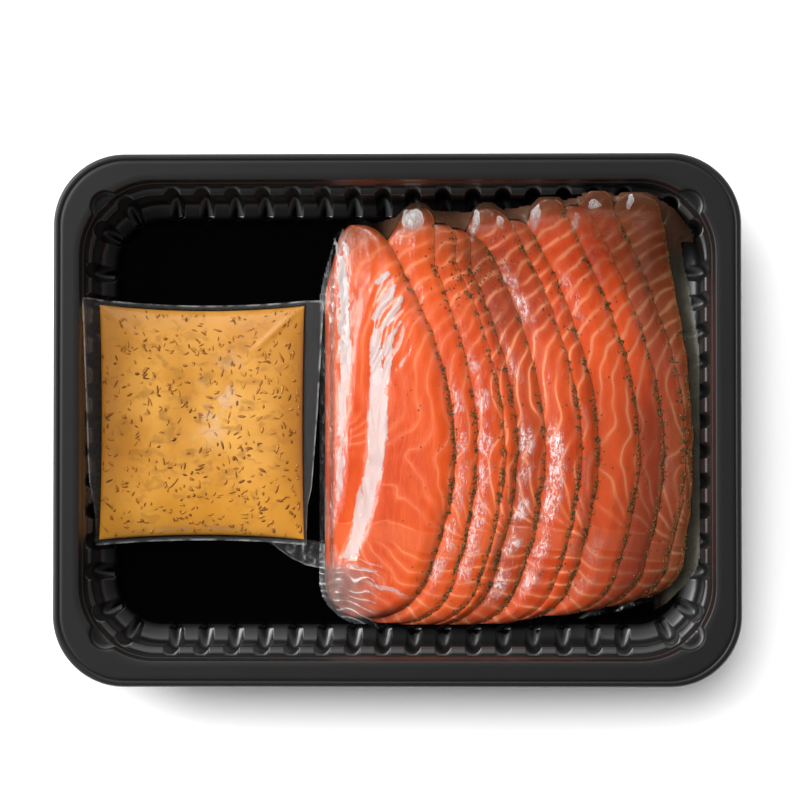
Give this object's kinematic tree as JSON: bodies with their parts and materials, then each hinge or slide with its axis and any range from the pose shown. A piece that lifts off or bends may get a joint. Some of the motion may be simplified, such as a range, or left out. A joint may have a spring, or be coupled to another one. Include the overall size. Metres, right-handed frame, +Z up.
{
  "type": "gravlax pack",
  "caption": "Black moulded tray holding a shingled stack of dill-edged gravlax slices under clear film and a clear sachet of mustard dill sauce.",
  "frame": {"origin": "centre of the tray's underside, where it rests", "axes": "+X along the tray from the sachet to the slices, +Y towards the wall that the slices' tips lean on, +Z up out of the tray"},
  "size_m": [0.227, 0.176, 0.033],
  "materials": {
    "black_tray": "satin black moulded plastic sheet",
    "cured_fish": "moist orange fish flesh with pale lines, under clear film",
    "mustard_dill_sauce": "mustard yellow sauce with dill flecks behind clear film",
    "clear_film": "clear glossy pouch film"
  },
  "bodies": {
    "root": {"tray": "black_tray", "slice_01": "cured_fish", "slice_02": "cured_fish", "slice_03": "cured_fish", "slice_04": "cured_fish", "slice_05": "cured_fish", "slice_06": "cured_fish", "slice_07": "cured_fish", "slice_08": "cured_fish", "slice_09": "cured_fish", "slice_10": "cured_fish", "slice_11": "cured_fish", "sauce_sachet": "mustard_dill_sauce", "pouch_margin": "clear_film"}
  },
  "joints": []
}
